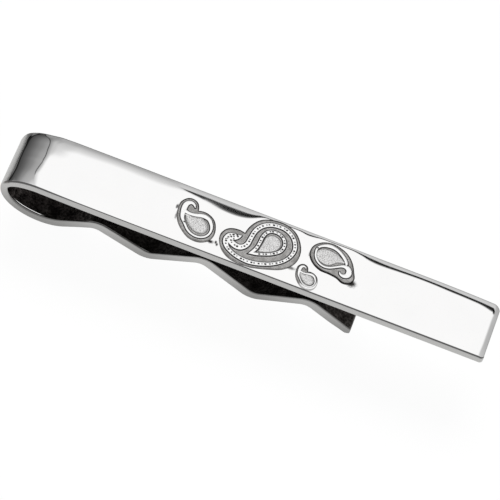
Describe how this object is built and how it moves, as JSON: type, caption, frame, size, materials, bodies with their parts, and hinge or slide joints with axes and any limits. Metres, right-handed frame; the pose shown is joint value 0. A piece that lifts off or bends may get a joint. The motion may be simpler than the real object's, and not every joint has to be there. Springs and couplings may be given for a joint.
{
  "type": "tie clip",
  "caption": "Slide-on tie clip: a flat polished bar with a hairpin bend and a wavy spring leg behind it, decorated with raised paisley ornaments.",
  "frame": {"origin": "middle of the bar's back face, where the tie lies in the slot", "axes": "+X along the bar from the bend to the free end, +Y across the bar, +Z out of the decorated face"},
  "size_m": [0.058, 0.008, 0.0064],
  "materials": {
    "polished_strip": "mirror polished, silver-white plating",
    "bright_ribbon": "polished",
    "darkened_ground": "matte, darkened",
    "grained_drop": "matte, finely grained"
  },
  "bodies": {
    "bar": {"front_bar": "polished_strip", "return_bend": "polished_strip", "left_paisley_ground": "darkened_ground", "left_paisley_ribbon": "bright_ribbon", "left_paisley_drop": "grained_drop", "large_paisley_ground": "darkened_ground", "large_paisley_outer_ribbon": "bright_ribbon", "large_paisley_inner_ribbon": "bright_ribbon", "large_paisley_drop": "grained_drop", "right_paisley_ground": "darkened_ground", "right_paisley_ribbon": "bright_ribbon", "right_paisley_drop": "grained_drop", "small_paisley_ground": "darkened_ground", "small_paisley_ribbon": "bright_ribbon", "small_paisley_drop": "grained_drop"},
    "leg": {"spring_leg": "polished_strip"}
  },
  "joints": [
    {"name": "leg_flex", "type": "hinge", "parent": "bar", "child": "leg", "pos_m": [-0.0238, 0, -0.00499], "axis": [0, 1, 0], "range_deg": [0, 8], "stiffness_Nm_per_rad": 3.8}
  ]
}
